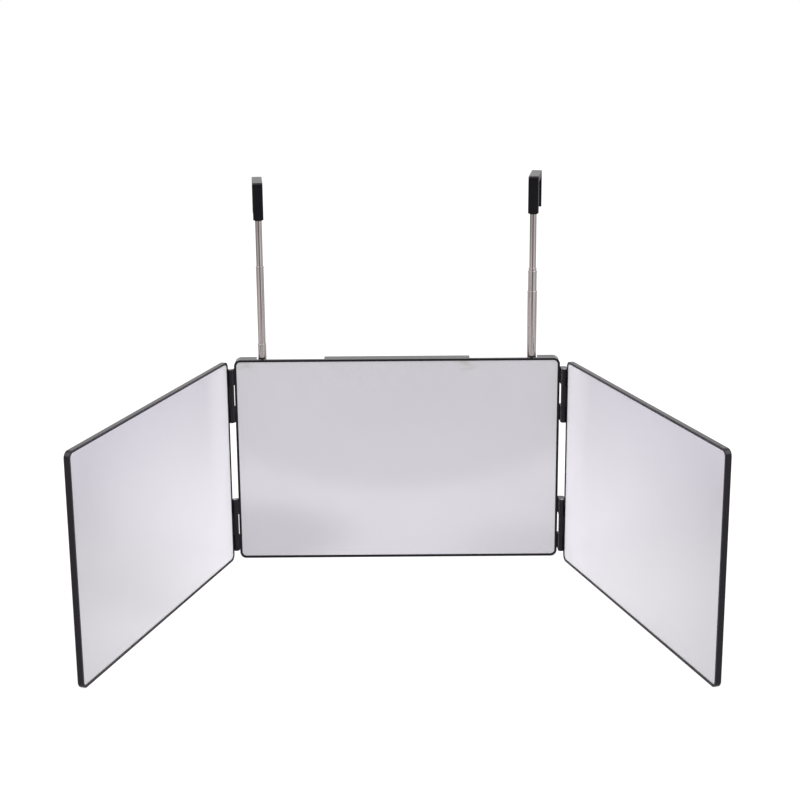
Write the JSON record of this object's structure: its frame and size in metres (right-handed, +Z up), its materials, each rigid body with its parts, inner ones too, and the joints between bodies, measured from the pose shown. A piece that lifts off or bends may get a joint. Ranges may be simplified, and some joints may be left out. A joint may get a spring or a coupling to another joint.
{
  "type": "three-way mirror",
  "caption": "Folding mirror with hinged side wings and telescopic masts whose over-door hooks swivel and stow in bays at its back; stands on a table or hangs on a door.",
  "frame": {"origin": "middle of the centre panel's lower face, half way through its depth", "axes": "+X to the viewer's right along the centre panel, +Y to the back towards the door, +Z up"},
  "size_m": [0.592, 0.4161, 0.4259],
  "materials": {
    "frame_plastic": "satin",
    "hook_plastic": "satin",
    "mirror": "polished",
    "mast_steel": "polished",
    "plug_brass": "turned",
    "fixing_steel": "plain",
    "tape": "foam"
  },
  "bodies": {
    "centre": {"centre_frame": "frame_plastic", "centre_mirror": "mirror", "centre_tape": "tape", "centre_back_cover": "frame_plastic", "cover_screws": "fixing_steel", "strap_screws": "fixing_steel", "left_hinge_pins": "fixing_steel", "left_tube_strap": "fixing_steel", "left_mast_outer_tube": "mast_steel", "left_mast_foot": "plug_brass", "right_hinge_pins": "fixing_steel", "right_tube_strap": "fixing_steel", "right_mast_outer_tube": "mast_steel", "right_mast_foot": "plug_brass"},
    "left_wing": {"left_wing_frame": "frame_plastic", "left_wing_mirror": "mirror", "left_wing_tape": "tape"},
    "left_section_4": {"left_mast_section_4": "mast_steel", "left_mast_plug_4": "plug_brass"},
    "left_section_3": {"left_mast_section_3": "mast_steel", "left_mast_plug_3": "plug_brass"},
    "left_section_2": {"left_mast_section_2": "mast_steel", "left_mast_plug_2": "plug_brass"},
    "left_section_1": {"left_mast_section_1": "mast_steel", "left_mast_plug_1": "plug_brass"},
    "left_hook": {"left_hook": "hook_plastic"},
    "right_wing": {"right_wing_frame": "frame_plastic", "right_wing_mirror": "mirror", "right_wing_tape": "tape"},
    "right_section_4": {"right_mast_section_4": "mast_steel", "right_mast_plug_4": "plug_brass"},
    "right_section_3": {"right_mast_section_3": "mast_steel", "right_mast_plug_3": "plug_brass"},
    "right_section_2": {"right_mast_section_2": "mast_steel", "right_mast_plug_2": "plug_brass"},
    "right_section_1": {"right_mast_section_1": "mast_steel", "right_mast_plug_1": "plug_brass"},
    "right_hook": {"right_hook": "hook_plastic"}
  },
  "joints": [
    {"name": "left_wing_fold", "type": "hinge", "parent": "centre", "child": "left_wing", "pos_m": [-0.18185, -0.0097, 0.1145], "axis": [0, 0, -1], "range_deg": [-107.4, 72.6]},
    {"name": "left_section_4_slide", "type": "slide", "parent": "centre", "child": "left_section_4", "axis": [0, 0, 1], "range_m": [0, 0.139]},
    {"name": "left_section_3_slide", "type": "slide", "parent": "left_section_4", "child": "left_section_3", "axis": [0, 0, 1], "range_m": [-0.0623, 0.0707]},
    {"name": "left_section_2_slide", "type": "slide", "parent": "left_section_3", "child": "left_section_2", "axis": [0, 0, 1], "range_m": [-0.0822, 0.0448]},
    {"name": "left_section_1_slide", "type": "slide", "parent": "left_section_2", "child": "left_section_1", "axis": [0, 0, 1], "range_m": [-0.0484, 0.0726]},
    {"name": "left_hook_swivel", "type": "hinge", "parent": "left_section_1", "child": "left_hook", "pos_m": [-0.1474, 0.0017, 0.3804], "axis": [0, 0, 1], "range_deg": [-95.6, 84.4]},
    {"name": "right_wing_fold", "type": "hinge", "parent": "centre", "child": "right_wing", "pos_m": [0.18185, -0.0178, 0.1145], "axis": [0, 0, 1], "range_deg": [-107.4, 72.6]},
    {"name": "right_section_4_slide", "type": "slide", "parent": "centre", "child": "right_section_4", "axis": [0, 0, 1], "range_m": [-0.1219, 0.0171]},
    {"name": "right_section_3_slide", "type": "slide", "parent": "right_section_4", "child": "right_section_3", "axis": [0, 0, 1], "range_m": [-0.0188, 0.1142]},
    {"name": "right_section_2_slide", "type": "slide", "parent": "right_section_3", "child": "right_section_2", "axis": [0, 0, 1], "range_m": [0, 0.127]},
    {"name": "right_section_1_slide", "type": "slide", "parent": "right_section_2", "child": "right_section_1", "axis": [0, 0, 1], "range_m": [-0.0572, 0.0638]},
    {"name": "right_hook_swivel", "type": "hinge", "parent": "right_section_1", "child": "right_hook", "pos_m": [0.1474, 0.0017, 0.3854], "axis": [0, 0, -1], "range_deg": [-98.3, 81.7]}
  ]
}
